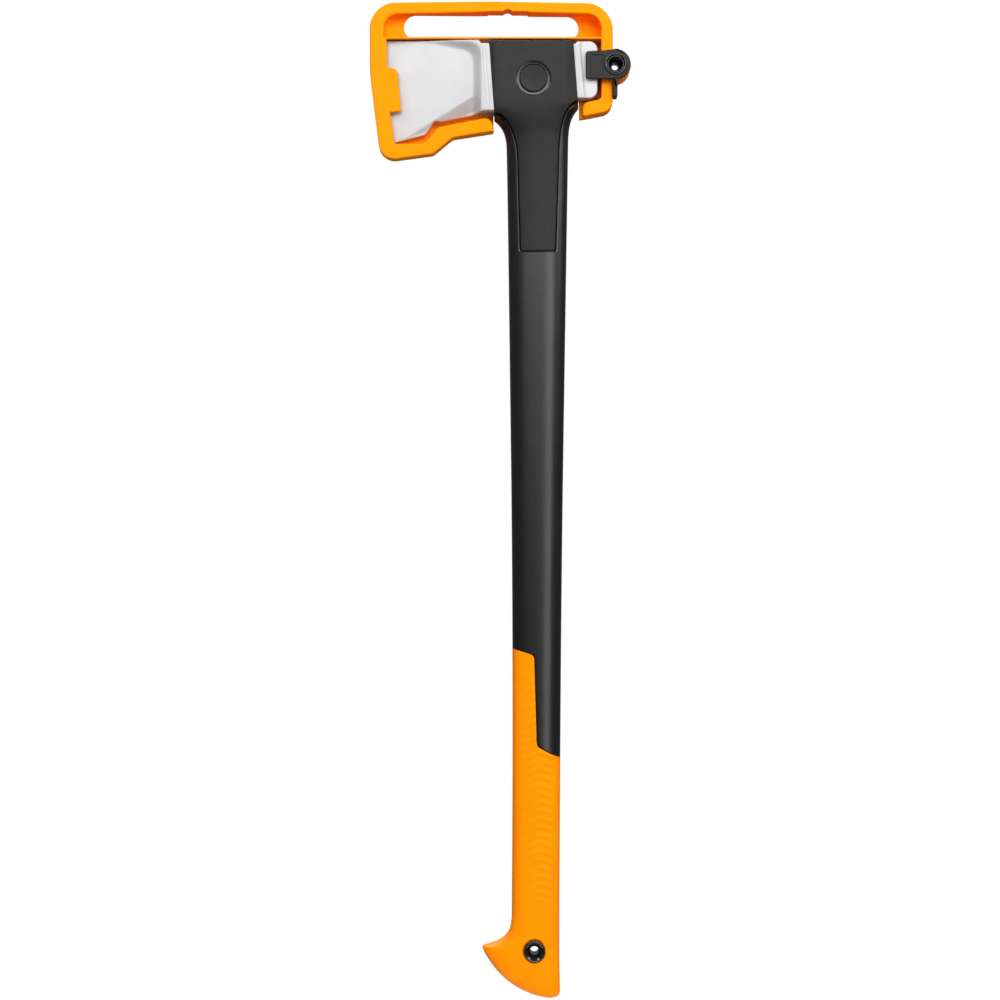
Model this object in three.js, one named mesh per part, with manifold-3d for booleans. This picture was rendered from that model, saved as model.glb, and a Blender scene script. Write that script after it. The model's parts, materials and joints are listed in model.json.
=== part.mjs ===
// A long-handled splitting axe stored in its blade guard.
// Millimetres, +Z up, +X towards the poll, -Y towards the side that shows the latch.
// The origin is the crown of the hang notch under the guard's top bar.

import * as THREE from "three";
import { mergeVertices } from "three/addons/utils/BufferGeometryUtils.js";
import Module from "manifold-3d";

const wasm = await Module();
wasm.setup();

// ---------------------------------------------------------------- driving dimensions

const GAP = 0.35; // between pieces that touch or are moulded together
const THROUGH = 60; // half length of a cut that passes right through

// head
const HEAD_TOP_AT_BIT = -28.4;
const HEAD_TOP_AT_EYE = -30.6;
const BIT_TOE_Z = -127.5;
const BIT_TOP_X = -122.8;
const BIT_LEAN = 9;
const BIT_BOW = 4.4;
const EDGE_HALF_LAND = 0.3;
const BEVEL_WIDTH = 12;
const BEVEL_SLOPE = 0.13;
const CHEEK_SLOPE = 0.11;
const WEDGE_SLOPE = 0.195;
const BEARD_RELIEF = 0.68;
const BEARD_HALF = 2;
const SHOULDER_HALF = 20.4;
const POLL_HALF = 12.8;
const POLL_BLOCK_HALF = 14.2;
const POLL_RIGHT = 85.2;
const FLARE_WIDTH = 9;
const WAIST_HALF = 10;
const WAIST_TOP = -40;
const WAIST_BOTTOM = -82;

// collar, part of the moulding that carries the head
const COLLAR_HALF = 22;
const COLLAR_TOP = -32;
const COLLAR_LEAN = 0.078;
const DISC_X = 24.3;
const DISC_Z = -67.6;
const DISC_RADIUS = 12.9;
const DISC_RING_RADIUS = 16.8;
const DISC_RING_DEPTH = 1.6;
const DISC_THICKNESS = 3.2;
const LOCK_PIN_RADIUS = 5;
const TONGUE_END = -230.6;
const TANG_END = -300;

// handle
const HANDLE_TOP = -90;
const HANDLE_BOTTOM = -941.3;
const SECTION_POWER = 2.5;
const SECTION_POINTS = 20;
const WALL = 3;
const GRIP_THICKNESS = 3;
const CORE_END = -872;
const PLUG_DEPTH = 14;
const PLUG_FLANGE = 3;

// lanyard bush in the pommel
const BUSH_X = 25.4;
const BUSH_Z = -895.3;
const BUSH_HOLE = 4.2;
const BUSH_BARREL = 7;
const BUSH_FLANGE = 10.4;
const BUSH_FACE = 16.6;
const BUSH_SEAT = 13.2;

// blade guard
const GUARD_FRONT = -10;
const GUARD_NOMINAL_DEPTH = 20;
const GUARD_LEFT = -131.2;
const GUARD_RIGHT = 100;
const GUARD_DEPTH_LEFT = 16;
const GUARD_DEPTH_RIGHT = 26.5;
const SLOT_LEFT = -99.2;
const SLOT_RIGHT = 68;
const SLOT_TOP = -2.9;
const SLOT_BOTTOM = -26.4;
const RIB_THICKNESS = 1.5;
const WEB_FRONT = 7;
const FLANGE_FRONT = 8.4;

// latch
const PIVOT_X = 102.3;
const PIVOT_Z = -53.7;
const BOSS_RADIUS = 14.7;
const BOSS_FRONT = -13.5;
const LATCH_RADIUS = 14.3;
const LATCH_BACK = -13.9;
const LATCH_FRONT = -19;
const LATCH_TIP_X = 74;
const EYELET_BARREL = 7.2;
const EYELET_FLANGE = 10.3;
const EYELET_THROAT = 3.2;
const EYELET_THROAT_LENGTH = 5;

// ---------------------------------------------------------------- solids and outlines

function toSolid(geometry) {
  const bare = geometry.index ? geometry.toNonIndexed() : geometry.clone();
  bare.deleteAttribute("normal");
  bare.deleteAttribute("uv");
  const merged = mergeVertices(bare, 1e-4);
  return new wasm.Manifold(
    new wasm.Mesh({
      numProp: 3,
      vertProperties: merged.attributes.position.array,
      triVerts: new Uint32Array(merged.index.array),
    }),
  );
}

function toGeometry(solid) {
  const mesh = solid.getMesh();
  const geometry = new THREE.BufferGeometry();
  geometry.setAttribute("position", new THREE.BufferAttribute(new Float32Array(mesh.vertProperties), 3));
  geometry.setIndex(new THREE.BufferAttribute(new Uint32Array(mesh.triVerts), 1));
  geometry.computeVertexNormals();
  return geometry;
}

// A polygon in the XZ plane whose corners are [x, z, radius].
function outline(corners) {
  const shape = new THREE.Shape();
  const count = corners.length;
  corners.forEach(([x, z, radius = 0], i) => {
    const here = new THREE.Vector2(x, z);
    const before = new THREE.Vector2(...corners[(i + count - 1) % count].slice(0, 2));
    const after = new THREE.Vector2(...corners[(i + 1) % count].slice(0, 2));
    const toBefore = before.sub(here).normalize();
    const toAfter = after.sub(here).normalize();
    const halfAngle = Math.acos(THREE.MathUtils.clamp(toBefore.dot(toAfter), -1, 1)) / 2;
    const reach = radius / Math.tan(halfAngle);
    const start = here.clone().addScaledVector(toBefore, reach);
    const end = here.clone().addScaledVector(toAfter, reach);
    if (i === 0) shape.moveTo(start.x, start.y);
    else shape.lineTo(start.x, start.y);
    if (radius === 0) return;
    const bisector = toBefore.clone().add(toAfter).normalize();
    const centre = here.clone().addScaledVector(bisector, radius / Math.sin(halfAngle));
    const from = Math.atan2(start.y - centre.y, start.x - centre.x);
    const to = Math.atan2(end.y - centre.y, end.x - centre.x);
    const clockwise = toBefore.cross(toAfter) > 0;
    shape.absarc(centre.x, centre.y, radius, from, to, clockwise);
  });
  shape.closePath();
  return shape;
}

// An XZ outline made solid from y = front to y = back.
function plate(shape, front, back, curveSegments = 4) {
  const geometry = new THREE.ExtrudeGeometry(shape, {
    depth: back - front,
    bevelEnabled: false,
    curveSegments,
  });
  geometry.rotateX(Math.PI / 2);
  geometry.translate(0, back, 0);
  return geometry;
}

function box(x0, x1, y0, y1, z0, z1) {
  const geometry = new THREE.BoxGeometry(x1 - x0, y1 - y0, z1 - z0);
  geometry.translate((x0 + x1) / 2, (y0 + y1) / 2, (z0 + z1) / 2);
  return geometry;
}

// A solid of revolution about an axis along Y through (x, z); the profile is [radius, y].
function turned(profile, x, z, segments = 20) {
  const points = profile.map(([radius, y]) => new THREE.Vector2(radius, y));
  const geometry = new THREE.LatheGeometry(points, segments);
  geometry.translate(x, 0, z);
  return geometry;
}

function rod(radius, x, z, y0, y1, segments = 20) {
  return turned([[0, y0], [radius, y0], [radius, y1], [0, y1]], x, z, segments);
}

// The solid inside a closed surface, whichever way round its triangles were given.
function solidOf(geometry) {
  const solid = toSolid(geometry);
  if (solid.volume() > 0) return solid;
  const flipped = geometry.toNonIndexed();
  const p = flipped.attributes.position;
  for (let i = 0; i < p.count; i += 3) {
    const [x, y, z] = [p.getX(i), p.getY(i), p.getZ(i)];
    p.setXYZ(i, p.getX(i + 1), p.getY(i + 1), p.getZ(i + 1));
    p.setXYZ(i + 1, x, y, z);
  }
  return toSolid(flipped);
}

// ---------------------------------------------------------------- handle profiles

// A run of cubic Bezier curves that always falls in z, as a function that gives the value at z.
function fallingProfile(start, ...curves) {
  const samples = [new THREE.Vector2(...start)];
  let from = samples[0];
  for (const [a, b, c] of curves) {
    const curve = new THREE.CubicBezierCurve(
      from,
      new THREE.Vector2(...a),
      new THREE.Vector2(...b),
      new THREE.Vector2(...c),
    );
    samples.push(...curve.getPoints(24).slice(1));
    from = curve.v3;
  }
  return (z) => {
    const next = samples.findIndex((p) => p.y <= z);
    if (next <= 0) return samples[next === 0 ? 0 : samples.length - 1].x;
    const [high, low] = [samples[next - 1], samples[next]];
    return THREE.MathUtils.lerp(high.x, low.x, (high.y - z) / (high.y - low.y));
  };
}

// Each point is [x, z]: the bit side of the handle, from the flare to the hooked pommel.
const handleLeft = fallingProfile(
  [-30, -96],
  [[-8, -104.5], [-2.6, -113], [-1.2, -128]],
  [[-0.2, -150], [1.5, -300], [3.2, -430]],
  [[4.8, -560], [5.2, -720], [3.9, -862]],
  [[3.7, -879], [-1, -886.8], [-23, -891.8]],
  [[-24.6, -892.4], [-24, -895], [-21.5, -899.5]],
  [[-14, -912], [0, -934], [35.5, HANDLE_BOTTOM]],
);

// The poll side.
const handleRight = fallingProfile(
  [75, -88],
  [[61, -96.5], [58.3, -107], [57.8, -126]],
  [[57.2, -170], [55.2, -290], [53.1, -430]],
  [[51.2, -560], [50.2, -700], [49.4, -849]],
  [[49.2, -880], [49.3, -915], [49.9, -934]],
  [[50.1, -938.5], [48, -940.8], [44, HANDLE_BOTTOM]],
);

// Half of the thickness, as [half, z].
const handleHalf = fallingProfile(
  [21.6, -90],
  [[19.4, -105], [17.6, -125], [16.7, -160]],
  [[16, -250], [15.5, -400], [15.4, -560]],
  [[15.4, -700], [16, -800], [15.6, -880]],
  [[15.6, -910], [14.5, -926], [9.5, -937]],
  [[8.5, -939], [6.5, -940.5], [4, HANDLE_BOTTOM]],
);

function evenSteps(from, to, count) {
  return Array.from({ length: count }, (_, i) => from + ((to - from) * i) / count);
}

// A loft of rounded sections down the handle, drawn in by inset and cut off at top and bottom.
function handleLoft(inset, top, bottom) {
  const levels = [
    ...evenSteps(HANDLE_TOP, -150, 9),
    ...evenSteps(-150, -240, 2),
    ...evenSteps(-240, -840, 5),
    ...evenSteps(-840, -885, 5),
    ...evenSteps(-885, -900, 5),
    ...evenSteps(-900, HANDLE_BOTTOM, 8),
    HANDLE_BOTTOM,
  ].filter((z) => z < top - 0.5 && z > bottom + 0.5);
  const stations = [top, ...levels, bottom];
  const vertices = [];
  for (const z of stations) {
    const left = handleLeft(z) + inset;
    const right = handleRight(z) - inset;
    const half = handleHalf(z) - inset;
    for (let i = 0; i < SECTION_POINTS; i += 1) {
      const angle = (2 * Math.PI * i) / SECTION_POINTS;
      const [c, s] = [Math.cos(angle), Math.sin(angle)];
      const round = (v) => Math.sign(v) * Math.abs(v) ** (2 / SECTION_POWER);
      vertices.push((left + right) / 2 + ((right - left) / 2) * round(c), half * round(s), z);
    }
  }
  const ends = [0, stations.length - 1].map((row) => {
    const z = stations[row];
    vertices.push((handleLeft(z) + handleRight(z)) / 2, 0, z);
    return vertices.length / 3 - 1;
  });
  const faces = [];
  for (let i = 0; i < SECTION_POINTS; i += 1) {
    const j = (i + 1) % SECTION_POINTS;
    for (let row = 0; row + 1 < stations.length; row += 1) {
      const [a, b] = [row * SECTION_POINTS + i, row * SECTION_POINTS + j];
      const [c, d] = [a + SECTION_POINTS, b + SECTION_POINTS];
      faces.push(a, d, b, a, c, d);
    }
    const last = (stations.length - 1) * SECTION_POINTS;
    faces.push(ends[0], i, j, ends[1], last + j, last + i);
  }
  const geometry = new THREE.BufferGeometry();
  geometry.setAttribute("position", new THREE.Float32BufferAttribute(vertices, 3));
  geometry.setIndex(faces);
  return geometry;
}

const handle = solidOf(handleLoft(0, HANDLE_TOP, HANDLE_BOTTOM));

// ---------------------------------------------------------------- head

function bitX(z) {
  const s = (z - HEAD_TOP_AT_BIT) / (BIT_TOE_Z - HEAD_TOP_AT_BIT);
  return BIT_TOP_X + BIT_LEAN * s - 4 * BIT_BOW * s * (1 - s);
}

// Signed distance past the line from a to b, positive on the line's left-hand side.
function pastLine(x, z, [ax, az], [bx, bz]) {
  const length = Math.hypot(bx - ax, bz - az);
  return ((bx - ax) * (z - az) - (bz - az) * (x - ax)) / length;
}

// The flat cheek is a hollow in the wedge: its border runs along the top and the eye.
function pastCheek(x, z) {
  const overTop = pastLine(x, z, [-40, -39.6], [-88, -29.4]) * -1;
  const nearEye = x + 33.4;
  return Math.max(overTop, nearEye);
}

// Below a line to the beard the cheek is cut back at a slope, down to a thin lower edge.
function relievedCheek(x, z, cheek) {
  const underBeard = pastLine(x, z, [-33, -83], [-70, -105.5]);
  return Math.max(cheek - BEARD_RELIEF * Math.max(underBeard, 0), Math.min(cheek, BEARD_HALF));
}

function headHalf(x, z) {
  if (x > DISC_X) return x < 67.4 - 0.09 * (z + 31) ? POLL_BLOCK_HALF : POLL_HALF;
  const fromEdge = Math.max(x - bitX(z), 0);
  const bevel = EDGE_HALF_LAND + BEVEL_SLOPE * Math.min(fromEdge, BEVEL_WIDTH);
  const beyond = Math.max(fromEdge - BEVEL_WIDTH, 0);
  const cheek = bevel + CHEEK_SLOPE * beyond;
  const wedge = Math.min(bevel + WEDGE_SLOPE * beyond, SHOULDER_HALF);
  const share = THREE.MathUtils.smoothstep(pastCheek(x, z), 0, FLARE_WIDTH);
  return THREE.MathUtils.lerp(relievedCheek(x, z, cheek), wedge, share);
}

// A slab over the head's whole side view whose two faces follow the half thickness.
function headSlab() {
  const xs = [
    ...evenSteps(-130, -110, 3),
    ...evenSteps(-110, -44, 7),
    ...evenSteps(-44, -18, 6),
    ...evenSteps(-18, 60, 2),
    ...evenSteps(60, 74, 3),
    74,
    90,
  ];
  const zs = [...evenSteps(-132, -108, 3), ...evenSteps(-108, -80, 4), ...evenSteps(-80, -26, 8), -26];
  const vertices = [];
  for (const side of [-1, 1]) {
    for (const z of zs) {
      for (const x of xs) vertices.push(x, side * headHalf(x, z), z);
    }
  }
  const [columns, rows] = [xs.length, zs.length];
  const at = (side, row, column) => (side * rows + row) * columns + column;
  const faces = [];
  const quad = (a, b, c, d) => faces.push(a, b, c, a, c, d);
  for (let r = 0; r + 1 < rows; r += 1) {
    for (let c = 0; c + 1 < columns; c += 1) {
      quad(at(0, r, c), at(0, r, c + 1), at(0, r + 1, c + 1), at(0, r + 1, c));
      quad(at(1, r, c), at(1, r + 1, c), at(1, r + 1, c + 1), at(1, r, c + 1));
    }
    quad(at(0, r, 0), at(0, r + 1, 0), at(1, r + 1, 0), at(1, r, 0));
    quad(at(0, r, columns - 1), at(1, r, columns - 1), at(1, r + 1, columns - 1), at(0, r + 1, columns - 1));
  }
  for (let c = 0; c + 1 < columns; c += 1) {
    quad(at(0, 0, c), at(1, 0, c), at(1, 0, c + 1), at(0, 0, c + 1));
    quad(at(0, rows - 1, c), at(0, rows - 1, c + 1), at(1, rows - 1, c + 1), at(1, rows - 1, c));
  }
  const geometry = new THREE.BufferGeometry();
  geometry.setAttribute("position", new THREE.Float32BufferAttribute(vertices, 3));
  geometry.setIndex(faces);
  return geometry;
}

function headOutline() {
  const bit = evenSteps(BIT_TOE_Z, HEAD_TOP_AT_BIT, 10).map((z) => [bitX(z), z]);
  return outline([
    ...bit,
    [BIT_TOP_X, HEAD_TOP_AT_BIT],
    [-27.5, HEAD_TOP_AT_EYE],
    [-24, -35],
    [62.5, -35],
    [66, -31.2, 2],
    [POLL_RIGHT, -30.8, 8],
    [POLL_RIGHT, -85, 8],
    [60, -85],
    [-13, -97.6],
    [-22.4, -97.6],
    [-64, -106.4],
    [-70, -105.8, 2],
    [-78.5, -118.6, 6],
  ]);
}

// The collar's side view, whose sides lean towards the poll; grow widens it on both sides.
function collarOutline(grow = 0, top = COLLAR_TOP) {
  const leftAt = (z) => -18 - grow - COLLAR_LEAN * (z - COLLAR_TOP);
  const rightAt = (z) => 62.2 + grow - COLLAR_LEAN * (z - COLLAR_TOP);
  return outline([
    [leftAt(top), top],
    [rightAt(top), top],
    [rightAt(-85.6), -85.6],
    [50, -93.6],
    [5, -103.2],
    [leftAt(-98.2), -98.2],
  ]);
}

function waistCore(grow) {
  return box(-60, 80, -WAIST_HALF - grow, WAIST_HALF + grow, WAIST_BOTTOM - grow, WAIST_TOP + grow);
}

function makeHead() {
  const around = solidOf(plate(collarOutline(GAP, 0), -THROUGH, THROUGH)).subtract(solidOf(waistCore(0)));
  return solidOf(headSlab())
    .intersect(solidOf(plate(headOutline(), -THROUGH, THROUGH)))
    .subtract(around)
    .subtract(solidOf(rod(LOCK_PIN_RADIUS + GAP, DISC_X, DISC_Z, -THROUGH, THROUGH)));
}

// ---------------------------------------------------------------- carrier, discs and pin

// The tongue that runs down both faces of the shaft, with concave shoulders under the collar.
function tongueShape(grow) {
  const shape = new THREE.Shape();
  shape.moveTo(-13 - grow, -95);
  shape.lineTo(-13 - grow, -98.5 - grow);
  shape.bezierCurveTo(-2 - grow, -100.5 - grow, 7.5 - grow, -112, 10 - grow, -140);
  shape.lineTo(12.4 - grow, TONGUE_END + 3);
  shape.quadraticCurveTo(12.5 - grow, TONGUE_END - grow, 15.5, TONGUE_END - grow);
  shape.lineTo(42, TONGUE_END - grow);
  shape.quadraticCurveTo(45 + grow, TONGUE_END - grow, 45.1 + grow, TONGUE_END + 3);
  shape.lineTo(48.2 + grow, -132);
  shape.bezierCurveTo(49.5 + grow, -104 - grow, 55 + grow, -93.5 - grow, 66.8 + grow, -86 - grow);
  shape.lineTo(66.8 + grow, -84);
  shape.closePath();
  return shape;
}

// The collar seen from above: flat in front, falling away towards the poll.
function collarPlan() {
  const shape = new THREE.Shape();
  const side = [[-18.5, 20.9], [-13, COLLAR_HALF], [54, COLLAR_HALF], [67.5, 16.5]];
  shape.moveTo(side[0][0], -side[0][1]);
  side.slice(1).forEach(([x, y]) => shape.lineTo(x, -y));
  side.reverse().forEach(([x, y]) => shape.lineTo(x, y));
  shape.closePath();
  const geometry = new THREE.ExtrudeGeometry(shape, { depth: 90, bevelEnabled: false });
  geometry.translate(0, 0, -110);
  return geometry;
}

function discSeat(side) {
  const face = side * COLLAR_HALF;
  const inner = side * (COLLAR_HALF - DISC_RING_DEPTH);
  const floor = side * (COLLAR_HALF - DISC_THICKNESS - DISC_RING_DEPTH);
  const outside = side * (COLLAR_HALF + 5);
  const seat = DISC_RADIUS + GAP;
  const profile = [[0, floor], [seat, floor], [seat, inner], [DISC_RING_RADIUS, face], [DISC_RING_RADIUS, outside]];
  return solidOf(turned([...profile, [0, outside]], DISC_X, DISC_Z));
}

function makeCarrier() {
  const collar = solidOf(plate(collarOutline(), -THROUGH, THROUGH)).intersect(solidOf(collarPlan()));
  const tongue = handle.intersect(solidOf(plate(tongueShape(0), -THROUGH, THROUGH)));
  const tang = solidOf(handleLoft(WALL + GAP, TONGUE_END + 4, TANG_END));
  return collar
    .add(tongue)
    .add(tang)
    .subtract(solidOf(waistCore(GAP)))
    .subtract(discSeat(-1))
    .subtract(discSeat(1))
    .subtract(solidOf(rod(LOCK_PIN_RADIUS + GAP, DISC_X, DISC_Z, -THROUGH, THROUGH)));
}

function makeDisc(side) {
  const back = side * (COLLAR_HALF - DISC_THICKNESS - DISC_RING_DEPTH + GAP);
  const rim = side * (COLLAR_HALF - 0.6);
  const dish = side * (COLLAR_HALF - 1.2);
  const profile = [[0, back], [DISC_RADIUS, back], [DISC_RADIUS, rim], [DISC_RADIUS - 1.5, rim], [0, dish]];
  return solidOf(turned(profile, DISC_X, DISC_Z));
}

function makeLockPin() {
  const reach = COLLAR_HALF - DISC_THICKNESS - DISC_RING_DEPTH - GAP;
  return solidOf(rod(LOCK_PIN_RADIUS, DISC_X, DISC_Z, -reach, reach));
}

// ---------------------------------------------------------------- shaft, grip and plug

// Everything below the stepped border between the shaft and the soft grip.
function gripRegion(grow) {
  const shape = new THREE.Shape();
  shape.moveTo(-70, -607.6 + grow);
  shape.lineTo(4, -608.6 + grow);
  shape.bezierCurveTo(12 + grow, -609.5 + grow, 24.6 + grow, -612 + grow, 25 + grow, -620 + grow);
  shape.lineTo(27.6 + grow, -697 + grow);
  shape.bezierCurveTo(27.8 + grow, -704 + grow, 38 + grow, -708.5 + grow, 49 + grow, -711.4 + grow);
  shape.lineTo(70, -716 + grow);
  shape.lineTo(70, -980);
  shape.lineTo(-70, -980);
  shape.closePath();
  return solidOf(plate(shape, -THROUGH, THROUGH));
}

function makeShaft() {
  const flare = outline([
    [-12.8, -99.6],
    [67.4, -86.6],
    [67.4, -1000],
    [-12.8, -1000],
  ]);
  const outer = handle.intersect(solidOf(plate(flare, -THROUGH, THROUGH))).subtract(gripRegion(GAP));
  const core = solidOf(handleLoft(GRIP_THICKNESS + GAP, -560, CORE_END));
  const bore = solidOf(handleLoft(GRIP_THICKNESS + GAP + WALL - 0.4, -560, CORE_END - 5));
  const upperBore = solidOf(handleLoft(WALL, TONGUE_END + 6, -562));
  return outer
    .add(core)
    .subtract(solidOf(plate(tongueShape(GAP), -THROUGH, THROUGH)))
    .subtract(bore)
    .subtract(upperBore);
}

function makePlug() {
  const top = CORE_END + PLUG_DEPTH;
  const tenon = solidOf(handleLoft(GRIP_THICKNESS + WALL + 2 * GAP, top, CORE_END - PLUG_FLANGE));
  const flange = solidOf(handleLoft(GRIP_THICKNESS + GAP, CORE_END - GAP, CORE_END - PLUG_FLANGE));
  return tenon.add(flange);
}

function makeGrip() {
  const hollow = solidOf(handleLoft(GRIP_THICKNESS, -560, CORE_END - PLUG_FLANGE - GAP));
  let grip = handle.intersect(gripRegion(0)).subtract(hollow);
  grip = grip.subtract(solidOf(rod(BUSH_BARREL + GAP, BUSH_X, BUSH_Z, -THROUGH, THROUGH)));
  for (const side of [-1, 1]) {
    const seat = side * (BUSH_SEAT - GAP);
    grip = grip.subtract(solidOf(rod(BUSH_FLANGE + GAP, BUSH_X, BUSH_Z, seat, side * THROUGH)));
  }
  return grip;
}

// Half of a hollow bush: a barrel that ends near the middle plane, and a flange with a funnel mouth.
function makeBush(side) {
  const profile = [
    [BUSH_HOLE, 0.2],
    [BUSH_BARREL, 0.2],
    [BUSH_BARREL, BUSH_SEAT],
    [BUSH_FLANGE, BUSH_SEAT],
    [BUSH_FLANGE, BUSH_FACE - 1],
    [BUSH_FLANGE - 1, BUSH_FACE],
    [BUSH_FLANGE - 1.6, BUSH_FACE],
    [BUSH_HOLE + 1.4, BUSH_FACE - 3.4],
    [BUSH_HOLE, BUSH_FACE - 7],
    [BUSH_HOLE, 0.2],
  ].map(([radius, y]) => [radius, side * y]);
  return solidOf(turned(profile, BUSH_X, BUSH_Z));
}

// ---------------------------------------------------------------- blade guard

function guardDepth(x) {
  const s = (x - GUARD_LEFT) / (GUARD_RIGHT - GUARD_LEFT);
  return GUARD_DEPTH_LEFT + (GUARD_DEPTH_RIGHT - GUARD_DEPTH_LEFT) * s;
}

// A plate whose y runs over the guard's nominal depth, drawn out to the real depth at each x.
function guardPlate(shape, front, back, segments) {
  const geometry = plate(shape, front, back, segments);
  const p = geometry.attributes.position;
  for (let i = 0; i < p.count; i += 1) {
    const share = (p.getY(i) - GUARD_FRONT) / GUARD_NOMINAL_DEPTH;
    p.setY(i, GUARD_FRONT + share * guardDepth(p.getX(i)));
  }
  return solidOf(geometry);
}

const guardBack = GUARD_FRONT + GUARD_NOMINAL_DEPTH;

// The bar that runs round the head, open where the handle leaves it.
function guardRing() {
  return outline([
    [GUARD_LEFT, 6.4, 25],
    [-15, 7.6, 400],
    [GUARD_RIGHT, 5.6, 26],
    [GUARD_RIGHT, -96.4, 12],
    [71, -102.2, 2.2],
    [71.6, -88.8, 7],
    [89, -85.4, 4],
    [89, -4.6, 14],
    [-10, -2.6, 400],
    [-117.8, -4.8, 13],
    [-117.8, -60, 60],
    [-107.4, -127.9, 1],
    [-79, -127.9, 8],
    [-66.5, -112.6, 8],
    [-16.2, -102.2, 8],
    [-12.8, -115.8, 2],
    [-52.5, -122.2, 10],
    [-71, -137.6, 8],
    [-120.8, -144.6, 15],
    [GUARD_LEFT, -60, 150],
  ]);
}

function stadium(left, right, bottom, top) {
  const radius = (top - bottom) / 2;
  return outline([[left, bottom, radius], [right, bottom, radius], [right, top, radius], [left, top, radius]]);
}

// The part of the pocket that the back flange leaves open.
function flangeWindow() {
  return outline([
    [-100, -28.6],
    [73, -28.6],
    [74.5, -120],
    [-13.2, -120],
    [-13.2, -98.2],
    [-22, -98.2],
    [-31, -100.2],
    [-34, -97],
    [-66, -103.6],
    [-73, -104.5],
    [-84, -109.5],
    [-100, -112],
  ]);
}

function makeGuard() {
  const filled = outline([
    [-118.5, SLOT_BOTTOM - 1],
    [89.5, SLOT_BOTTOM - 1],
    [89.5, -86, 4],
    [72.5, -89.5, 4],
    [68.6, -101],
    [68.4, -89],
    [-10, -60],
    [-13.6, -113.4],
    [-66.5, -113.8],
    [-79, -128.4],
    [-107.6, -128.4],
    [-118.5, -60],
  ]);
  const slot = stadium(SLOT_LEFT, SLOT_RIGHT, SLOT_BOTTOM, SLOT_TOP);
  const ribZ = SLOT_BOTTOM - RIB_THICKNESS;
  const rib = outline([[-119, ribZ], [90, ribZ], [90, SLOT_BOTTOM], [-119, SLOT_BOTTOM]]);
  const panel = outline([[-119, ribZ], [90, ribZ], [90, -2.5, 12], [-119, -2.5, 12]]);
  const tab = outline([
    [-119, SLOT_BOTTOM - 1],
    [-115.3, SLOT_BOTTOM - 1],
    [-114.8, -55, 1],
    [-105.2, -56.6, 5],
    [-101.2, -97.2, 3],
    [-113.5, -98.8],
  ]);
  const flange = guardPlate(filled, FLANGE_FRONT, guardBack).subtract(guardPlate(flangeWindow(), 0, 20));
  const web = guardPlate(panel, WEB_FRONT, guardBack).subtract(guardPlate(slot, 0, 20, 6));
  const bit = outline([
    ...evenSteps(BIT_TOE_Z - 1, HEAD_TOP_AT_BIT + 1, 8).map((z) => [bitX(z) - 1, z]),
    [BIT_TOP_X - 1, HEAD_TOP_AT_BIT + 1],
    [-100, HEAD_TOP_AT_BIT + 1],
    [-100, BIT_TOE_Z + 3.5],
  ]);
  const heel = guardPlate(outline([[68.6, -102.4], [80, -100.4], [80, -85.8], [68.4, -85.8]]), 2, FLANGE_FRONT + 0.4);
  const notch = rod(6, 0, -6, -60, 60, 24);
  const relief = box(-18.7, 19.3, -60, 60, -12, -1.9);
  const boss = solidOf(rod(BOSS_RADIUS, PIVOT_X, PIVOT_Z, BOSS_FRONT, 16.4, 32));
  return guardPlate(guardRing(), GUARD_FRONT, guardBack, 5)
    .add(guardPlate(rib, GUARD_FRONT + 0.8, guardBack))
    .add(web)
    .add(flange)
    .add(heel)
    .add(guardPlate(tab, GUARD_FRONT, -4.2))
    .add(boss)
    .subtract(solidOf(plate(bit, -3.2, 3.2)))
    .subtract(solidOf(notch))
    .subtract(solidOf(relief))
    .subtract(solidOf(rod(EYELET_BARREL + GAP, PIVOT_X, PIVOT_Z, -THROUGH, THROUGH)));
}

// ---------------------------------------------------------------- latch

function latchShape() {
  const shape = new THREE.Shape();
  shape.moveTo(PIVOT_X, PIVOT_Z + LATCH_RADIUS);
  shape.lineTo(LATCH_TIP_X + 2.4, -41.6);
  shape.quadraticCurveTo(LATCH_TIP_X, -41.6, LATCH_TIP_X, -44);
  shape.lineTo(LATCH_TIP_X, -64.9);
  shape.quadraticCurveTo(LATCH_TIP_X, -67.3, LATCH_TIP_X + 2.4, -67.3);
  shape.lineTo(PIVOT_X - 4, -67.6);
  shape.absarc(PIVOT_X, PIVOT_Z, LATCH_RADIUS, -Math.PI / 2, Math.PI / 2, false);
  shape.closePath();
  return shape;
}

function makeLatch() {
  const recess = outline([
    [78.4, -44.6, 2],
    [78.4, -64, 2],
    [91, -64, 1],
    [91, -44.6, 1],
  ]);
  const fingerLeft = PIVOT_X - 2;
  const fingerRight = PIVOT_X + 1.8;
  return solidOf(plate(latchShape(), LATCH_FRONT, LATCH_BACK, 10))
    .add(solidOf(box(fingerLeft, fingerRight, LATCH_FRONT, LATCH_BACK, -75, -64)))
    .add(solidOf(box(fingerLeft, fingerRight, LATCH_FRONT, 1, -84.2, -69.2)))
    .subtract(solidOf(plate(recess, LATCH_FRONT - 1, LATCH_FRONT + 0.8)))
    .subtract(solidOf(rod(EYELET_BARREL + GAP, PIVOT_X, PIVOT_Z, -THROUGH, THROUGH)));
}

// Half of the hollow rivet that the latch turns on.
function makeEyelet(side, meeting, seat) {
  const lip = seat + side * 1.7;
  const profile = [
    [EYELET_THROAT, meeting],
    [EYELET_BARREL, meeting],
    [EYELET_BARREL, seat],
    [EYELET_FLANGE, seat],
    [EYELET_FLANGE, lip - side * 0.7],
    [EYELET_FLANGE - 0.7, lip],
    [EYELET_FLANGE - 1.3, lip],
    [EYELET_BARREL - 0.8, lip - side * 3],
    [EYELET_BARREL - 1.1, lip - side * 6],
    [EYELET_BARREL - 1.4, meeting + side * (EYELET_THROAT_LENGTH + 2)],
    [EYELET_THROAT, meeting + side * EYELET_THROAT_LENGTH],
    [EYELET_THROAT, meeting],
  ];
  return solidOf(turned(profile, PIVOT_X, PIVOT_Z));
}

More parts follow.
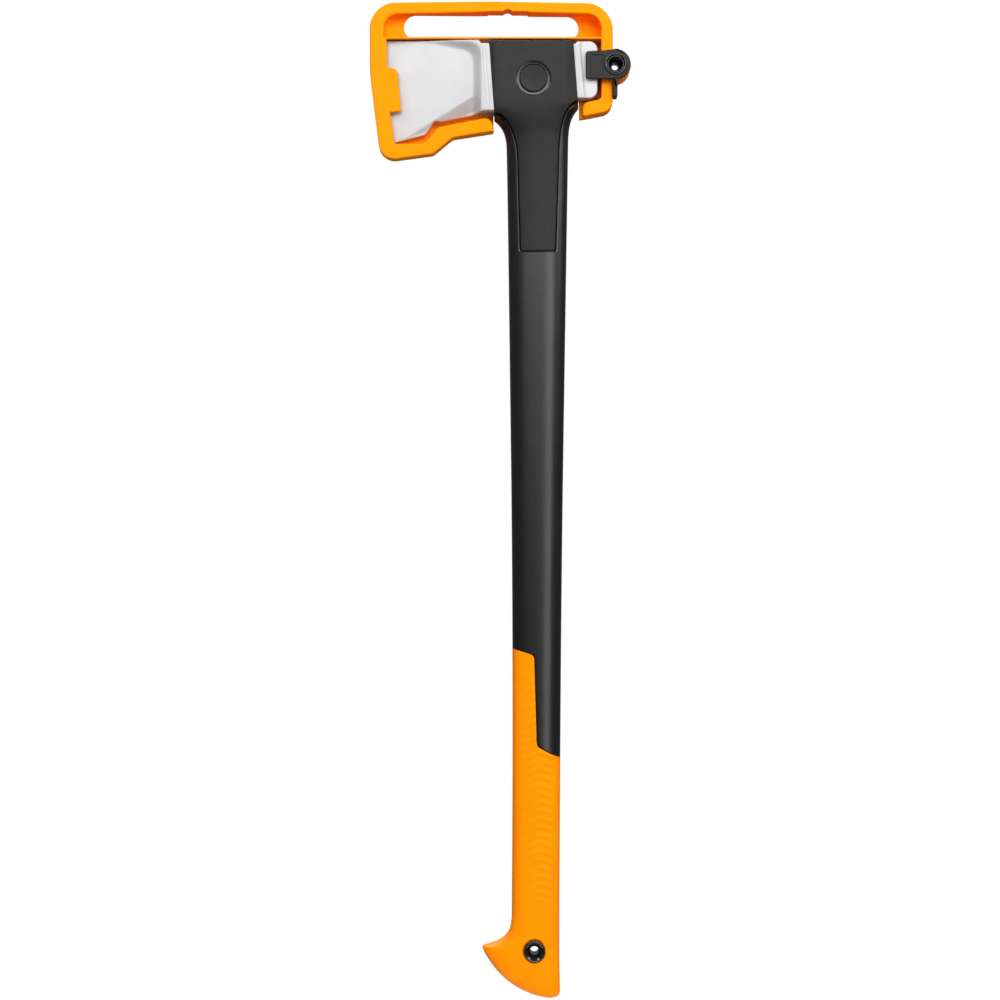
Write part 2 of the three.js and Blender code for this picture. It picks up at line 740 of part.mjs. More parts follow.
// ---------------------------------------------------------------- assembly

const steel = { color: 0xdcdce0, roughness: 0.45, metalness: 0.7 };
const nylon = { color: 0x3d3d3f, roughness: 0.55, metalness: 0 };
const glossBlack = { color: 0x101012, roughness: 0.15, metalness: 0 };
const shaftBlack = { color: 0x2b2b2c, roughness: 0.4, metalness: 0 };
const orange = { color: 0xffa01c, roughness: 0.5, metalness: 0 };
const softOrange = { color: 0xfb9a0a, roughness: 0.6, metalness: 0 };
const pinSteel = { color: 0xa8a8ac, roughness: 0.4, metalness: 1 };

const pieces = [
  ["axe_head", makeHead(), steel],
  ["head_carrier", makeCarrier(), nylon],
  ["collar_disc_front", makeDisc(-1), nylon],
  ["collar_disc_back", makeDisc(1), nylon],
  ["lock_pin", makeLockPin(), pinSteel],
  ["shaft", makeShaft(), shaftBlack],
  ["shaft_end_plug", makePlug(), nylon],
  ["grip", makeGrip(), softOrange],
  ["pommel_bush_front", makeBush(-1), glossBlack],
  ["pommel_bush_back", makeBush(1), glossBlack],
  ["sheath_frame", makeGuard(), orange],
  ["latch", makeLatch(), nylon],
  ["latch_eyelet_front", makeEyelet(-1, 1.8, LATCH_FRONT - GAP), glossBlack],
  ["latch_eyelet_back", makeEyelet(1, 2.2, 16.9), glossBlack],
];

const group = new THREE.Group();
for (const [name, solid, look] of pieces) {
  const mesh = new THREE.Mesh(toGeometry(solid), new THREE.MeshStandardMaterial(look));
  mesh.name = name;
  group.add(mesh);
}

export default group;
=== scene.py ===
"""A long-handled axe in its blade guard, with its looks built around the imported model.

Lengths in this file are millimetres in the model's own frame; raw_mesh turns them into metres. Camera, lights
and finishes are in metres. A half is half of a thickness, measured from the middle plane y = 0.
"""

import bisect
import json
import math

import bmesh
import bpy
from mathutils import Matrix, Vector


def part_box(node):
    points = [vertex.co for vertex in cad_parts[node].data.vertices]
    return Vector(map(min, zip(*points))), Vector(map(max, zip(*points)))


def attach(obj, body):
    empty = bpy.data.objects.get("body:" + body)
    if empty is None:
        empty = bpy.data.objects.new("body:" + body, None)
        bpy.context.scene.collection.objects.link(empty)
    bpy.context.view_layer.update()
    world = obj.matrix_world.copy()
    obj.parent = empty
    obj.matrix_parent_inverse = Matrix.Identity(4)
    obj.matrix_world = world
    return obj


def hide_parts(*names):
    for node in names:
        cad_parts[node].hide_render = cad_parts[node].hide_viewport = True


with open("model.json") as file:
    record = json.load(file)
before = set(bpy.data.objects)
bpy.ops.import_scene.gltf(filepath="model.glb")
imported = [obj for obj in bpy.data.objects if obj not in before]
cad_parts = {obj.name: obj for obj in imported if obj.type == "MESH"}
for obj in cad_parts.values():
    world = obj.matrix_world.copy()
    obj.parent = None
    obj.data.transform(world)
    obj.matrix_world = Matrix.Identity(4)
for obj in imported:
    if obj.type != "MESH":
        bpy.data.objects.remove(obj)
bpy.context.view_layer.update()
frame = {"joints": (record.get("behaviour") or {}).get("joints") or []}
MM = 0.001


# ---------------------------------------------------------------- places that come from the frame


def middle(node):
    low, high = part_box(node)
    return (low + high) / 2 / MM


PIVOT = Vector(frame["joints"][0]["pos_m"]) / MM
DISC = middle("collar_disc_front")
BUSH = middle("pommel_bush_front")
LATCH_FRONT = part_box("latch")[0].y / MM
HEAD_TOP = (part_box("axe_head")[1] / MM).z
GUARD_LEFT = (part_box("sheath_frame")[0] / MM).x
HANDLE_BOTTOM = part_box("grip")[0].z / MM


# ---------------------------------------------------------------- small mathematics


def lerp(a, b, s):
    return a + (b - a) * s


def clamp(v, low=0.0, high=1.0):
    return max(low, min(high, v))


def smoothstep(v, low, high):
    s = clamp((v - low) / (high - low))
    return s * s * (3 - 2 * s)


def steps(start, stop, size):
    """Evenly spaced values from start towards stop, without stop."""
    count = max(1, round(abs(stop - start) / size))
    return [lerp(start, stop, i / count) for i in range(count)]


def soft_max(a, b, width):
    """The larger of two values, rounded over where they are closer than width."""
    h = clamp(0.5 + (a - b) / (2 * width))
    return lerp(b, a, h) + width * h * (1 - h)


def bezier(controls, count):
    """Points along a cubic Bezier curve in a plane, its start left out."""
    points = []
    for i in range(1, count + 1):
        t = i / count
        u = 1 - t
        weights = (u**3, 3 * u * u * t, 3 * u * t * t, t**3)
        points.append(tuple(sum(w * p[k] for w, p in zip(weights, controls)) for k in (0, 1)))
    return points


def falling_profile(start, *curves):
    """A run of cubic Bezier curves of (value, z) that always falls in z, as a function of z."""
    points = [start]
    for curve in curves:
        points += bezier((points[-1], *curve), 60)
    rising = [-z for _, z in points]

    def value(z):
        i = bisect.bisect_left(rising, -z)
        if i == 0 or i == len(points):
            return points[min(i, len(points) - 1)][0]
        (v0, z0), (v1, z1) = points[i - 1], points[i]
        return lerp(v0, v1, (z0 - z) / (z0 - z1))

    return value


def outline(corners, degrees=6):
    """Points of a closed polygon in the XZ plane whose corners are (x, z, radius)."""
    points = []
    for i, corner in enumerate(corners):
        x, z, radius = (*corner, 0)[:3]
        here = Vector((x, z))
        to_before = (Vector(corners[i - 1][:2]) - here).normalized()
        to_after = (Vector(corners[(i + 1) % len(corners)][:2]) - here).normalized()
        if radius == 0:
            points.append(here)
            continue
        half = math.acos(clamp(to_before.dot(to_after), -1, 1)) / 2
        start = here + to_before * (radius / math.tan(half))
        centre = here + (to_before + to_after).normalized() * (radius / math.sin(half))
        arm = start - centre
        turn = math.pi - 2 * half
        turn *= -1 if to_before.cross(to_after) > 0 else 1
        count = max(2, math.ceil(abs(math.degrees(turn)) / degrees))
        for k in range(count + 1):
            angle = turn * k / count
            c, s = math.cos(angle), math.sin(angle)
            points.append(centre + Vector((arm.x * c - arm.y * s, arm.x * s + arm.y * c)))
    return points


def denser(points, longest):
    """The same closed outline with its long straight sides divided."""
    result = []
    for i, p in enumerate(points):
        q = points[(i + 1) % len(points)]
        count = max(1, math.ceil((q - p).length / longest))
        result += [p.lerp(q, k / count) for k in range(count)]
    return result


def drawn_in(points, distance):
    """A closed outline moved inwards by distance."""
    area = sum(p.cross(points[(i + 1) % len(points)]) for i, p in enumerate(points))
    sign = 1 if area > 0 else -1
    moved = []
    for i, p in enumerate(points):
        before = (p - points[i - 1]).normalized()
        after = (points[(i + 1) % len(points)] - p).normalized()
        tangent = (before + after).normalized()
        normal = Vector((-tangent.y, tangent.x)) * sign
        stretch = max(0.5, abs(tangent.dot(after)))
        moved.append(p + normal * (distance / stretch))
    return moved


# ---------------------------------------------------------------- meshes


def raw_mesh(name, vertices, faces):
    mesh = bpy.data.meshes.new(name)
    mesh.from_pydata([Vector(v) * MM for v in vertices], [], faces)
    obj = bpy.data.objects.new(name, mesh)
    bpy.context.scene.collection.objects.link(obj)
    tidy = bmesh.new()
    tidy.from_mesh(mesh)
    bmesh.ops.remove_doubles(tidy, verts=tidy.verts, dist=0.002 * MM)
    bmesh.ops.dissolve_degenerate(tidy, edges=tidy.edges, dist=0.001 * MM)
    bmesh.ops.recalc_face_normals(tidy, faces=tidy.faces)
    tidy.to_mesh(mesh)
    tidy.free()
    return obj


def loft(name, rings, closed=False):
    """Joins rings of equal length with quads; a loft that isn't closed gets flat ends."""
    count = len(rings[0])
    vertices = [v for ring in rings for v in ring]
    faces = []
    pairs = len(rings) if closed else len(rings) - 1
    for r in range(pairs):
        a, b = r * count, ((r + 1) % len(rings)) * count
        for i in range(count):
            j = (i + 1) % count
            faces.append((a + i, a + j, b + j, b + i))
    if not closed:
        faces.append(tuple(range(count)))
        faces.append(tuple(range((len(rings) - 1) * count, len(rings) * count)))
    return raw_mesh(name, vertices, faces)


def turned(name, profile, x, z, segments=96):
    """Revolves a closed (radius, y) profile about the axis along Y through (x, z)."""
    rings = []
    for k in range(segments):
        angle = 2 * math.pi * k / segments
        c, s = math.cos(angle), math.sin(angle)
        rings.append([(x + r * c, y, z + r * s) for r, y in profile])
    return loft(name, rings, closed=True)


def arc(centre, radius, start, stop, count):
    """Points of an arc in a (radius, y) profile, angles in degrees."""
    angles = [math.radians(lerp(start, stop, i / count)) for i in range(count + 1)]
    return [(centre[0] + radius * math.cos(a), centre[1] + radius * math.sin(a)) for a in angles]


def rounded_plate(name, points, front, back, front_round, back_round, rows=5):
    """A solid between y = front(x) and y = back(x) over an outline, with rounded rims."""
    rings = []
    for i in range(rows + 1):
        angle = math.pi / 2 * i / rows
        inset = drawn_in(points, front_round * (1 - math.sin(angle)))
        rings.append([(p.x, front(p.x) + front_round * (1 - math.cos(angle)), p.y) for p in inset])
    for i in range(rows + 1):
        angle = math.pi / 2 * (1 - i / rows)
        inset = drawn_in(points, back_round * (1 - math.sin(angle)))
        rings.append([(p.x, back(p.x) - back_round * (1 - math.cos(angle)), p.y) for p in inset])
    return loft(name, rings)


def boolean(obj, cutter, operation="DIFFERENCE"):
    """Cuts or joins another object, which is used up."""
    modifier = obj.modifiers.new("cut", "BOOLEAN")
    modifier.operation = operation
    modifier.object = cutter
    modifier.solver = "EXACT"
    bpy.context.view_layer.update()
    graph = bpy.context.evaluated_depsgraph_get()
    mesh = bpy.data.meshes.new_from_object(obj.evaluated_get(graph))
    obj.modifiers.clear()
    old = obj.data
    obj.data = mesh
    bpy.data.meshes.remove(old)
    bpy.data.objects.remove(cutter)
    return obj


def join(obj, other):
    return boolean(obj, other, "UNION")


def finish_piece(obj, material, body, slot, *nodes, sharp=35):
    """Smooths a piece but for its sharp edges, gives it its material, ties it to its body and hides the model
    parts it stands for.
    """
    mesh = obj.data
    mesh.materials.clear()
    mesh.materials.append(material)
    edited = bmesh.new()
    edited.from_mesh(mesh)
    limit = math.radians(sharp)
    for edge in edited.edges:
        edge.smooth = not (len(edge.link_faces) == 2 and edge.calc_face_angle(0) > limit)
    for face in edited.faces:
        face.smooth = True
        face.material_index = 0
    edited.to_mesh(mesh)
    edited.free()
    normals = obj.modifiers.new("normals", "WEIGHTED_NORMAL")
    normals.keep_sharp = True
    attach(obj, body)
    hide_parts(*nodes)


# ---------------------------------------------------------------- materials


def node_material(name):
    material = bpy.data.materials.new(name)
    material.use_nodes = True
    nodes = material.node_tree.nodes
    return material, nodes, material.node_tree.links, nodes["Principled BSDF"]


def coloured_noise(nodes, links, shader, dark, light, scale, coordinates):
    """Mottles the base colour between two close tones."""
    noise = nodes.new("ShaderNodeTexNoise")
    noise.inputs["Scale"].default_value = scale
    noise.inputs["Detail"].default_value = 4
    ramp = nodes.new("ShaderNodeValToRGB")
    ramp.color_ramp.elements[0].position = 0.3
    ramp.color_ramp.elements[1].position = 0.7
    ramp.color_ramp.elements[0].color = (*dark, 1)
    ramp.color_ramp.elements[1].color = (*light, 1)
    links.new(coordinates, noise.inputs["Vector"])
    links.new(noise.outputs["Fac"], ramp.inputs["Fac"])
    links.new(ramp.outputs["Color"], shader.inputs["Base Color"])


def uneven_gloss(nodes, links, shader, rough, scale, coordinates):
    """Varies the roughness between two values."""
    noise = nodes.new("ShaderNodeTexNoise")
    noise.inputs["Scale"].default_value = scale
    noise.inputs["Detail"].default_value = 3
    spread = nodes.new("ShaderNodeMapRange")
    spread.inputs["To Min"].default_value = rough[0]
    spread.inputs["To Max"].default_value = rough[1]
    links.new(coordinates, noise.inputs["Vector"])
    links.new(noise.outputs["Fac"], spread.inputs["Value"])
    links.new(spread.outputs["Result"], shader.inputs["Roughness"])


def grain(nodes, links, shader, scale, depth, coordinates):
    """A moulded or blasted surface texture as bump, with its depth in millimetres."""
    noise = nodes.new("ShaderNodeTexNoise")
    noise.inputs["Scale"].default_value = scale
    noise.inputs["Detail"].default_value = 6
    noise.inputs["Roughness"].default_value = 0.65
    bump = nodes.new("ShaderNodeBump")
    bump.inputs["Strength"].default_value = 1.0
    bump.inputs["Distance"].default_value = depth * MM
    links.new(coordinates, noise.inputs["Vector"])
    links.new(noise.outputs["Fac"], bump.inputs["Height"])
    links.new(bump.outputs["Normal"], shader.inputs["Normal"])


def moulded(name, dark, light, rough, grain_scale, grain_depth, metallic=0.0, specular=0.5, tint=(1, 1, 1)):
    """A finish with mottled colour, uneven gloss and fine grain; rough is (low, high)."""
    material, nodes, links, shader = node_material(name)
    coordinates = nodes.new("ShaderNodeTexCoord").outputs["Object"]
    coloured_noise(nodes, links, shader, dark, light, 60, coordinates)
    uneven_gloss(nodes, links, shader, rough, 140, coordinates)
    grain(nodes, links, shader, grain_scale, grain_depth, coordinates)
    shader.inputs["Metallic"].default_value = metallic
    shader.inputs["Specular IOR Level"].default_value = specular
    shader.inputs["Specular Tint"].default_value = (*tint, 1)
    return material


def grey(value, blue=0.0):
    return (value, value, value + blue)


WARM = (1, 0.45, 0.06)
coated_steel = moulded(
    "coated_steel", grey(0.47, 0.01), grey(0.5, 0.01), rough=(0.4, 0.5), grain_scale=2600, grain_depth=0.01,
    metallic=0.1,
)
nylon = moulded(
    "glass_filled_nylon", grey(0.0115, 0.0005), grey(0.015, 0.0005), rough=(0.42, 0.54), grain_scale=2400,
    grain_depth=0.02, specular=0.18,
)
polished_nylon = moulded(
    "polished_nylon", grey(0.01), grey(0.014), rough=(0.2, 0.26), grain_scale=1200, grain_depth=0.004,
    specular=0.42,
)
shaft_black = moulded(
    "satin_shaft", grey(0.0035), grey(0.005), rough=(0.28, 0.34), grain_scale=2000, grain_depth=0.006,
    specular=0.55,
)
gloss_black = moulded(
    "gloss_black", grey(0.003), grey(0.005), rough=(0.16, 0.22), grain_scale=900, grain_depth=0.003,
    specular=0.6,
)
guard_orange = moulded(
    "guard_orange", (0.95, 0.255, 0.001), (0.99, 0.272, 0.0015), rough=(0.45, 0.55), grain_scale=1800,
    grain_depth=0.01, specular=0.4, tint=WARM,
)
soft_orange = moulded(
    "soft_orange", (0.95, 0.24, 0.0004), (0.99, 0.26, 0.0006), rough=(0.5, 0.6), grain_scale=2600,
    grain_depth=0.015, specular=0.3, tint=WARM,
)
pin_steel = moulded(
    "pin_steel", grey(0.42, 0.02), grey(0.5, 0.02), rough=(0.3, 0.42), grain_scale=1500, grain_depth=0.01,
    metallic=1.0,
)


# ---------------------------------------------------------------- camera, light and floor

CAMERA_DISTANCE = 2.3
FRAME_WIDTH = 0.955  # across the view at the axe's middle plane
VIEW_X = -0.0073
VIEW_Z = -0.4668
SENSOR_WIDTH = 36


def make_camera():
    data = bpy.data.cameras.new("camera")
    data.sensor_width = SENSOR_WIDTH
    data.lens = SENSOR_WIDTH * CAMERA_DISTANCE / FRAME_WIDTH
    camera = bpy.data.objects.new("camera", data)
    camera.location = (VIEW_X, -CAMERA_DISTANCE, VIEW_Z)
    camera.rotation_euler = (math.pi / 2, 0, 0)
    bpy.context.scene.collection.objects.link(camera)
    bpy.context.scene.camera = camera


def softbox(name, place, target, width, height, watts):
    data = bpy.data.lights.new(name, "AREA")
    data.shape = "RECTANGLE"
    data.size = width
    data.size_y = height
    data.energy = watts
    light = bpy.data.objects.new(name, data)
    light.location = place
    light.rotation_euler = (Vector(target) - Vector(place)).to_track_quat("-Z", "Y").to_euler()
    bpy.context.scene.collection.objects.link(light)


def make_lights():
    softbox("front_key", (0.1, -3.0, 1.3), (0, 0, -0.35), 3.4, 2.0, 122)
    softbox("right_strip", (0.95, -2.05, -0.45), (0, 0, -0.45), 0.8, 2.3, 15.5)
    softbox("high_left", (-1.1, -0.8, 0.9), (0, 0, -0.1), 0.5, 0.5, 8)
    softbox("high_right", (1.3, -0.7, 0.3), (0, 0, -0.8), 0.6, 0.6, 7)
    softbox("back_fill", (-0.6, 2.4, 2.0), (0, 0, -0.4), 2.4, 1.8, 100)


LIGHT_FROM_BELOW = 0.03
LIGHT_FROM_ABOVE = 0.34


def make_world():
    """White behind the axe, with soft light that fades from above to below."""
    world = bpy.data.worlds.new("studio")
    bpy.context.scene.world = world
    world.use_nodes = True
    nodes, links = world.node_tree.nodes, world.node_tree.links
    seen = nodes["Background"]
    seen.inputs["Color"].default_value = (1, 1, 1, 1)
    seen.inputs["Strength"].default_value = 1.0
    lighting = nodes.new("ShaderNodeBackground")
    direction = nodes.new("ShaderNodeTexCoord")
    split = nodes.new("ShaderNodeSeparateXYZ")
    falloff = nodes.new("ShaderNodeMapRange")
    falloff.inputs["From Min"].default_value = -0.5
    falloff.inputs["From Max"].default_value = 0.5
    falloff.inputs["To Min"].default_value = LIGHT_FROM_BELOW
    falloff.inputs["To Max"].default_value = LIGHT_FROM_ABOVE
    links.new(direction.outputs["Generated"], split.inputs["Vector"])
    links.new(split.outputs["Z"], falloff.inputs["Value"])
    links.new(falloff.outputs["Result"], lighting.inputs["Strength"])
    path = nodes.new("ShaderNodeLightPath")
    mix = nodes.new("ShaderNodeMixShader")
    links.new(path.outputs["Is Camera Ray"], mix.inputs["Fac"])
    links.new(lighting.outputs["Background"], mix.inputs[1])
    links.new(seen.outputs["Background"], mix.inputs[2])
    links.new(mix.outputs["Shader"], nodes["World Output"].inputs["Surface"])


FLOOR_LEVEL = -1350
FLOOR_RADIUS = 700
FLOOR_SIDES = 96


def make_floor():
    """A round pale floor under the hanging axe."""
    material, nodes, links, shader = node_material("pale_floor")
    coordinates = nodes.new("ShaderNodeTexCoord").outputs["Object"]
    coloured_noise(nodes, links, shader, (0.84, 0.84, 0.84), (0.87, 0.87, 0.87), 2, coordinates)
    shader.inputs["Roughness"].default_value = 0.9
    rim = [math.tau * k / FLOOR_SIDES for k in range(FLOOR_SIDES)]
    corners = [(FLOOR_RADIUS * math.cos(a), FLOOR_RADIUS * math.sin(a), FLOOR_LEVEL) for a in rim]
    floor = raw_mesh("floor", corners, [tuple(range(FLOOR_SIDES))])
    floor.data.materials.append(material)


bpy.context.scene.view_settings.view_transform = "Standard"
make_camera()
make_lights()
make_world()
make_floor()


# ---------------------------------------------------------------- handle surface

SECTION_POWER = 2.5

# The control points are (x, z): the bit side of the handle from the flare to the hooked pommel,
# then the poll side, then half of the thickness as (half, z).
handle_left = falling_profile(
    (-30, -96),
    ((-8, -104.5), (-2.6, -113), (-1.2, -128)),
    ((-0.2, -150), (1.5, -300), (3.2, -430)),
    ((4.8, -560), (5.2, -720), (3.9, -862)),
    ((3.7, -879), (-1, -886.8), (-23, -891.8)),
    ((-24.6, -892.4), (-24, -895), (-21.5, -899.5)),
    ((-14, -912), (0, -934), (35.5, HANDLE_BOTTOM)),
)
handle_right = falling_profile(
    (75, -88),
    ((61, -96.5), (58.3, -107), (57.8, -126)),
    ((57.2, -170), (55.2, -290), (53.1, -430)),
    ((51.2, -560), (50.2, -700), (49.4, -849)),
    ((49.2, -880), (49.3, -915), (49.9, -934)),
    ((50.1, -938.5), (48, -940.8), (44, HANDLE_BOTTOM)),
)
handle_half = falling_profile(
    (21.6, -90),
    ((19.4, -105), (17.6, -125), (16.7, -160)),
    ((16, -250), (15.5, -400), (15.4, -560)),
    ((15.4, -700), (16, -800), (15.6, -880)),
    ((15.6, -910), (14.5, -926), (9.5, -937)),
    ((8.5, -939), (6.5, -940.5), (4, HANDLE_BOTTOM)),
)


def section_angle(x, left, right):
    """Where x lies along a section's front surface: 0 at the right edge, pi at the left."""
    u = clamp((2 * x - left - right) / (right - left), -1, 1)
    return math.acos(math.copysign(abs(u) ** (SECTION_POWER / 2), u))


def section_point(angle, left, right, half, inset=0.0):
    """The x and the half thickness of a section's surface, a superellipse that can be drawn in."""
    c, s = math.cos(angle), math.sin(angle)
    across = math.copysign(abs(c) ** (2 / SECTION_POWER), c)
    deep = abs(s) ** (2 / SECTION_POWER)
    return (left + right) / 2 + ((right - left) / 2 - inset) * across, (half - inset) * deep


def handle_surface(x, z):
    """Half thickness of the handle at (x, z)."""
    left, right = handle_left(z), handle_right(z)
    return section_point(section_angle(x, left, right), left, right, handle_half(z))[1]


# ---------------------------------------------------------------- borders on the handle

COLLAR_TOP = -32
COLLAR_LEFT = -18
COLLAR_RIGHT = 62.2
COLLAR_LEAN = 0.078  # both sides of the collar slant by this much in x for each step down in z
COLLAR_END_LEFT = -98.5
COLLAR_END_RIGHT = -86
TONGUE_END = -230.6
TONGUE_CORNER = TONGUE_END + 3
GROOVE = 1.4

tongue_left_curve = falling_profile(
    (-13, COLLAR_END_LEFT),
    ((-2, -100.5), (7.5, -112), (10, -140)),
    ((10.8, -168), (11.6, -198), (12.4, TONGUE_CORNER)),
    ((12.5, TONGUE_END + 1.2), (13.4, TONGUE_END + 0.2), (15.5, TONGUE_END)),
)
tongue_right_curve = falling_profile(
    (66.8, COLLAR_END_RIGHT),
    ((55, -93.5), (49.5, -104), (48.2, -132)),
    ((47.2, -165), (46.1, -198), (45.1, TONGUE_CORNER)),
    ((45, TONGUE_END + 1.2), (44.1, TONGUE_END + 0.2), (42, TONGUE_END)),
)


def collar_left(z):
    return COLLAR_LEFT - COLLAR_LEAN * (z - COLLAR_TOP)


def collar_right(z):
    return COLLAR_RIGHT - COLLAR_LEAN * (z - COLLAR_TOP)


def tongue_left(z):
    return collar_left(z) if z > COLLAR_END_LEFT else tongue_left_curve(z)


def tongue_right(z):
    return collar_right(z) if z > COLLAR_END_RIGHT else tongue_right_curve(z)


GRIP_TOP = -608.2
GRIP_STEP_END = -711.8

# The stepped border between the black shaft and the soft grip, as x at z.
grip_border = falling_profile(
    (3.6, GRIP_TOP),
    ((10, -609.8), (16, -611.6), (21.5, -613.4)),
    ((24.2, -614.2), (25, -616), (25.2, -620)),
    ((25.9, -645), (26.8, -671), (27.5, -696.5)),
    ((27.7, -700), (28.8, -701.8), (32.3, -703.4)),
    ((37, -706), (44, -709.6), (50.5, GRIP_STEP_END)),
)


# ---------------------------------------------------------------- shaft

SHAFT_TOP_LEFT = -99.6
SHAFT_TOP_RIGHT = -86.6
LEVEL_TOP = -100  # the rows are level with this one once they have left the head's underside
LEVEL_AFTER = 50
PRONG_LEFT = -12.8
PRONG_RIGHT = 67.4
CORE_INSET = 3.2
CORE_END = -872
SLIVER = 0.02  # keeps a border just inside the edges of its section

# The rounded edges of the shaft along a border: how far they reach, where they bend, and how far they drop.
EDGE_REACH = 1.08
EDGE_SHARE = 0.3
EDGE_BEND = 0.35
EDGE_DROP = 0.35
EDGE_BEND_DROP = 0.25 * EDGE_DROP
WALL_ANGLE = 0.004


def shaft_rows():
    """Pairs of heights, at the left and the right edge: the top rows follow the head's underside."""
    tongue = LEVEL_TOP - TONGUE_END
    grip = LEVEL_TOP - GRIP_TOP
    step = LEVEL_TOP - GRIP_STEP_END
    rows = []
    for down in (
        steps(0, 52, 1.3)
        + steps(52, 120, 6)
        + steps(120, tongue - 1.5, 4)
        + steps(tongue - 1.5, tongue + 3, 0.3)
        + steps(tongue + 3, grip - 2.2, 9)
        + steps(grip - 2.2, grip + 16.8, 0.5)
        + steps(grip + 16.8, step - 19.8, 3.5)
        + steps(step - 19.8, step + 0.2, 0.5)
        + [step + 0.2, LEVEL_TOP - CORE_END]
    ):
        ease = smoothstep(down, 0, LEVEL_AFTER)
        level = LEVEL_TOP - down
        rows.append((lerp(SHAFT_TOP_LEFT - down, level, ease), lerp(SHAFT_TOP_RIGHT - down, level, ease)))
    return rows


def crossing(curve, row, left, right, offset):
    """Where a slanted row meets a border that is given as x at z."""
    x = (left + right) / 2
    for _ in range(12):
        z = lerp(row[0], row[1], clamp((x - left) / (right - left)))
        x = lerp(x, curve(z) + offset, 0.7)
    return clamp(x, left + SLIVER, right - SLIVER)


def shaft_borders(row, left, right):
    """The x of the right and the left border of a row, between which the shaft is sunk or plain."""
    low = min(row)
    if low > TONGUE_END - GROOVE:
        return (
            crossing(lambda z: tongue_right(z + GROOVE * 0.6), row, left, right, GROOVE),
            crossing(lambda z: tongue_left(z + GROOVE * 0.6), row, left, right, -GROOVE),
        )
    if low < GRIP_TOP:
        return clamp(grip_border(low - 0.6) + 0.6, left + SLIVER, right - SLIVER), left + SLIVER / 2
    slide = smoothstep(low, -250, -590)
    return (
        lerp(tongue_right(TONGUE_CORNER) + GROOVE, left + 0.4, slide),
        lerp(tongue_left(TONGUE_CORNER) - GROOVE, left + 0.1, slide),
    )


def shaft_ring(row):
    """A section as columns of (angle, inset): the right side, the sunk middle and the left side."""
    z_left, z_right = row
    left = max(handle_left(z_left), PRONG_LEFT)
    right = min(handle_right(z_right), PRONG_RIGHT)
    low = min(row)
    half = handle_half((z_left + z_right) / 2)
    border_right, border_left = shaft_borders(row, left, right)
    in_grip = low < GRIP_TOP
    sunk = CORE_INSET if in_grip or low > TONGUE_END - GROOVE else 0.0
    sunk_left = CORE_INSET if in_grip else 0.0
    sunk_right = CORE_INSET if low < GRIP_STEP_END - 0.8 else 0.0
    drop = EDGE_DROP if sunk else 0.0
    bend_drop = EDGE_BEND_DROP if sunk else 0.0
    a_right = section_angle(border_right, left, right)
    a_left = section_angle(border_left, left, right)
    edge = min(a_right * EDGE_SHARE, EDGE_REACH / half)
    columns = [((a_right - edge) * (k / 16) ** 0.9, sunk_right) for k in range(17)]
    columns += [
        (a_right - edge * EDGE_BEND, sunk_right or bend_drop),
        (a_right, sunk_right or drop),
        (a_right + WALL_ANGLE, sunk),
    ]
    columns += [(lerp(a_right, a_left, k / 14), sunk) for k in range(1, 14)]
    edge = min(edge, (math.pi - a_left) * EDGE_SHARE)
    columns += [
        (a_left - WALL_ANGLE, sunk),
        (a_left, sunk_left or drop),
        (a_left + edge * EDGE_BEND, sunk_left or bend_drop),
    ]
    columns += [(lerp(a_left + edge, math.pi, k / 12), sunk_left) for k in range(13)]
    ring = []
    for angle, inset in columns:
        x, y = section_point(angle, left, right, half, inset)
        ring.append((x, -y, lerp(z_left, z_right, clamp((x - left) / (right - left)))))
    back = [(x, -y, z) for x, y, z in reversed(ring[1:-1])]
    return ring + back


def make_shaft():
    shaft = loft("shaft_tube", [shaft_ring(row) for row in shaft_rows()])
    finish_piece(shaft, shaft_black, "root", "shaft_composite", "shaft")


# ---------------------------------------------------------------- head carrier

COLLAR_HALF = 22
COLLAR_EDGE = 0.8
COLLAR_WALL = 14.0
TONGUE_WALL = 5.0
WALL_CHANGE = -104
NECK_TOP = -84
NECK_END = -122
HANDLE_FLARE = -90.0  # the handle's own surface starts at this height
ROUND_ANGLES = (0.0, 0.5, 1.0)


def collar_half(x):
    """Half thickness of the collar: flat in the middle, drawn in at both sides."""
    left_fall = 2.0 * (1 - smoothstep(x, -18, -11))
    right_fall = 5.5 * max(0.0, (x - 53) / 14) ** 1.6
    return COLLAR_HALF - left_fall - right_fall


def carrier_half(x, z):
    """Half thickness of the carrier: the collar, the neck, then the tongue flush with the handle."""
    collar = collar_half(x)
    if z > NECK_TOP:
        return collar
    neck = smoothstep(-z, -NECK_TOP, -NECK_END)
    return lerp(collar, handle_surface(x, min(z, HANDLE_FLARE)), neck)


def carrier_ring(z, shrink):
    left, right = tongue_left(z) + shrink, tongue_right(z) - shrink
    wall = COLLAR_WALL if z > WALL_CHANGE else TONGUE_WALL
    edge = COLLAR_EDGE
    rounded = [(edge * (1 - math.cos(a)), edge * (1 - math.sin(a))) for a in ROUND_ANGLES]
    columns = [(right, wall)]
    columns += [(right - inwards, shrink + drop) for inwards, drop in rounded]
    columns += [(lerp(right - edge, left + edge, k / 48), shrink) for k in range(49)]
    columns += [(left + inwards, shrink + drop) for inwards, drop in reversed(rounded)]
    columns.append((left, wall))
    ring = []
    for x, drop in columns:
        reach = carrier_half(clamp(x, left + edge, right - edge), z)
        ring.append((x, -max(reach - drop, 0.5), z))
    back = [(x, -y, z) for x, y, z in reversed(ring)]
    return ring + back


def polish_ring(carrier):
    """Gives the ring grooves round the discs a glossier finish than the rest of the moulding."""
    carrier.data.materials.append(polished_nylon)
    for face in carrier.data.polygons:
        centre = face.center / MM
        from_disc = math.hypot(centre.x - DISC.x, centre.z - DISC.z)
        if from_disc < RING_RADIUS + RING_LIP and abs(centre.y) < COLLAR_HALF - 0.02:
            face.material_index = 1


